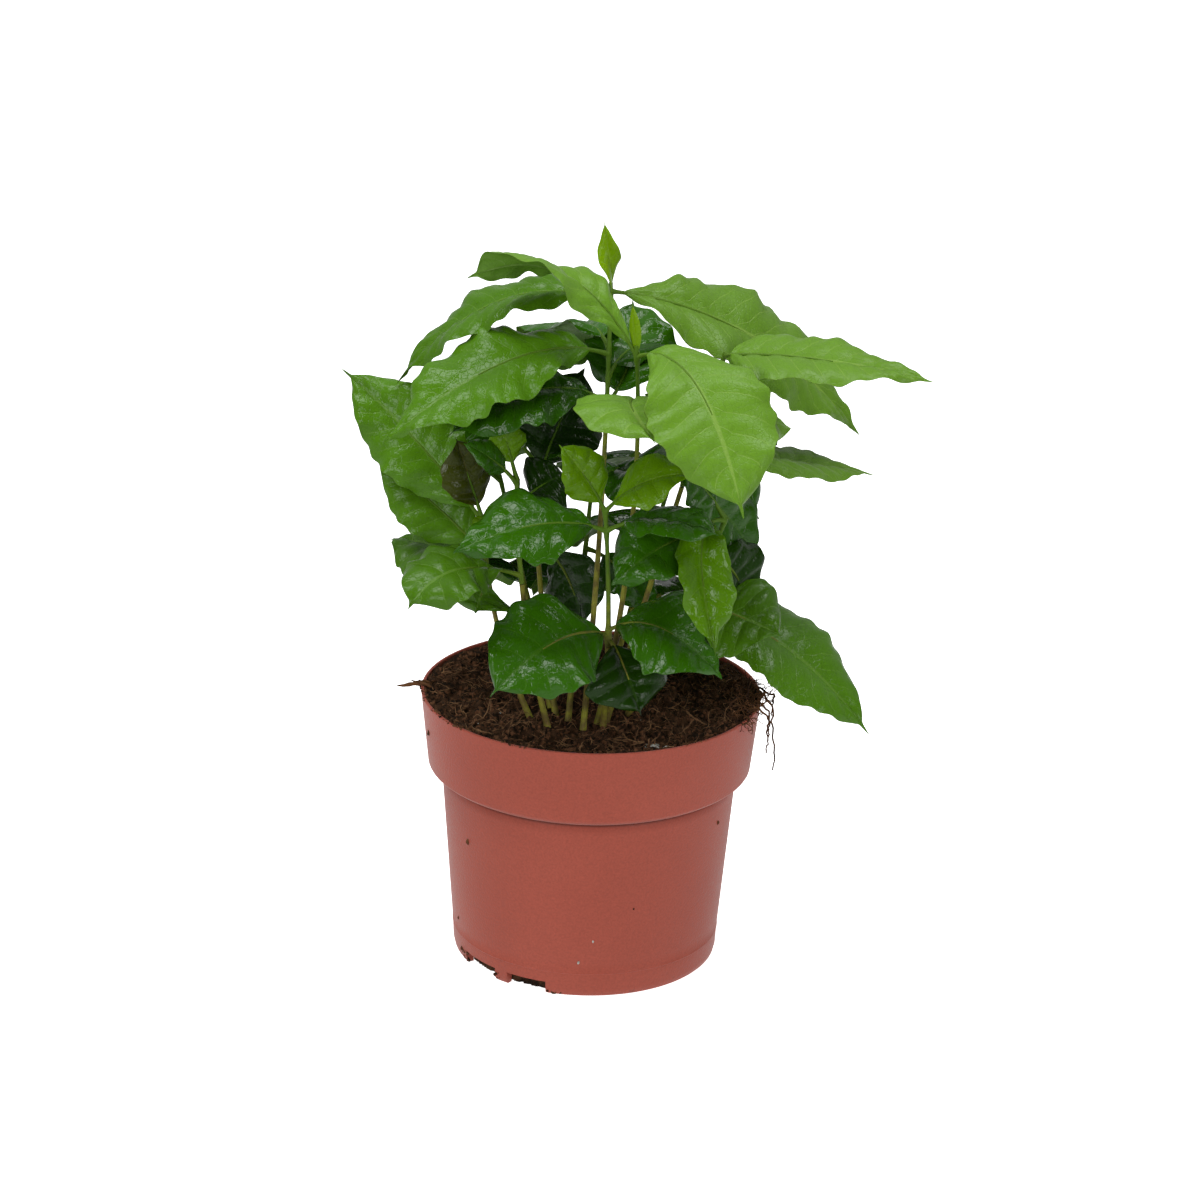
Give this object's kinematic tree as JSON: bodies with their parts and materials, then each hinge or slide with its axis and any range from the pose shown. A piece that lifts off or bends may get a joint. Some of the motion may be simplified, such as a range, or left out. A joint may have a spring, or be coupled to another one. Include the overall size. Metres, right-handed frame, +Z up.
{
  "type": "potted coffee plant",
  "caption": "Young coffee plant, a leafy clump of upright seedlings with broad wavy leaves, in a round plastic nursery pot filled with peat.",
  "frame": {"origin": "middle of the pot's underside, on the surface it stands on", "axes": "+Z up along the pot's axis, +X to the right of the pot's front, +Y away from the front"},
  "size_m": [0.2012, 0.153, 0.268],
  "materials": {
    "terracotta_plastic": "satin moulded plastic, terracotta colour",
    "peat_soil": "dark fibrous potting peat",
    "green_stem": "young green stem, tan towards the soil",
    "leaf_green": "glossy leaf"
  },
  "bodies": {
    "root": {"pot": "terracotta_plastic", "soil": "peat_soil", "stem_centre": "green_stem", "stem_middle": "green_stem", "stem_front": "green_stem", "stem_right": "green_stem", "stem_left": "green_stem", "stem_left_inner": "green_stem", "stem_left_back": "green_stem", "stem_back": "green_stem", "stem_right_inner": "green_stem", "stem_right_back": "green_stem", "stem_far_left": "green_stem", "foliage_centre": "leaf_green", "foliage_middle": "leaf_green", "foliage_front": "leaf_green", "foliage_right": "leaf_green", "foliage_left": "leaf_green", "foliage_left_inner": "leaf_green", "foliage_left_back": "leaf_green", "foliage_back": "leaf_green", "foliage_right_inner": "leaf_green", "foliage_right_back": "leaf_green", "foliage_far_left": "leaf_green"}
  },
  "joints": []
}
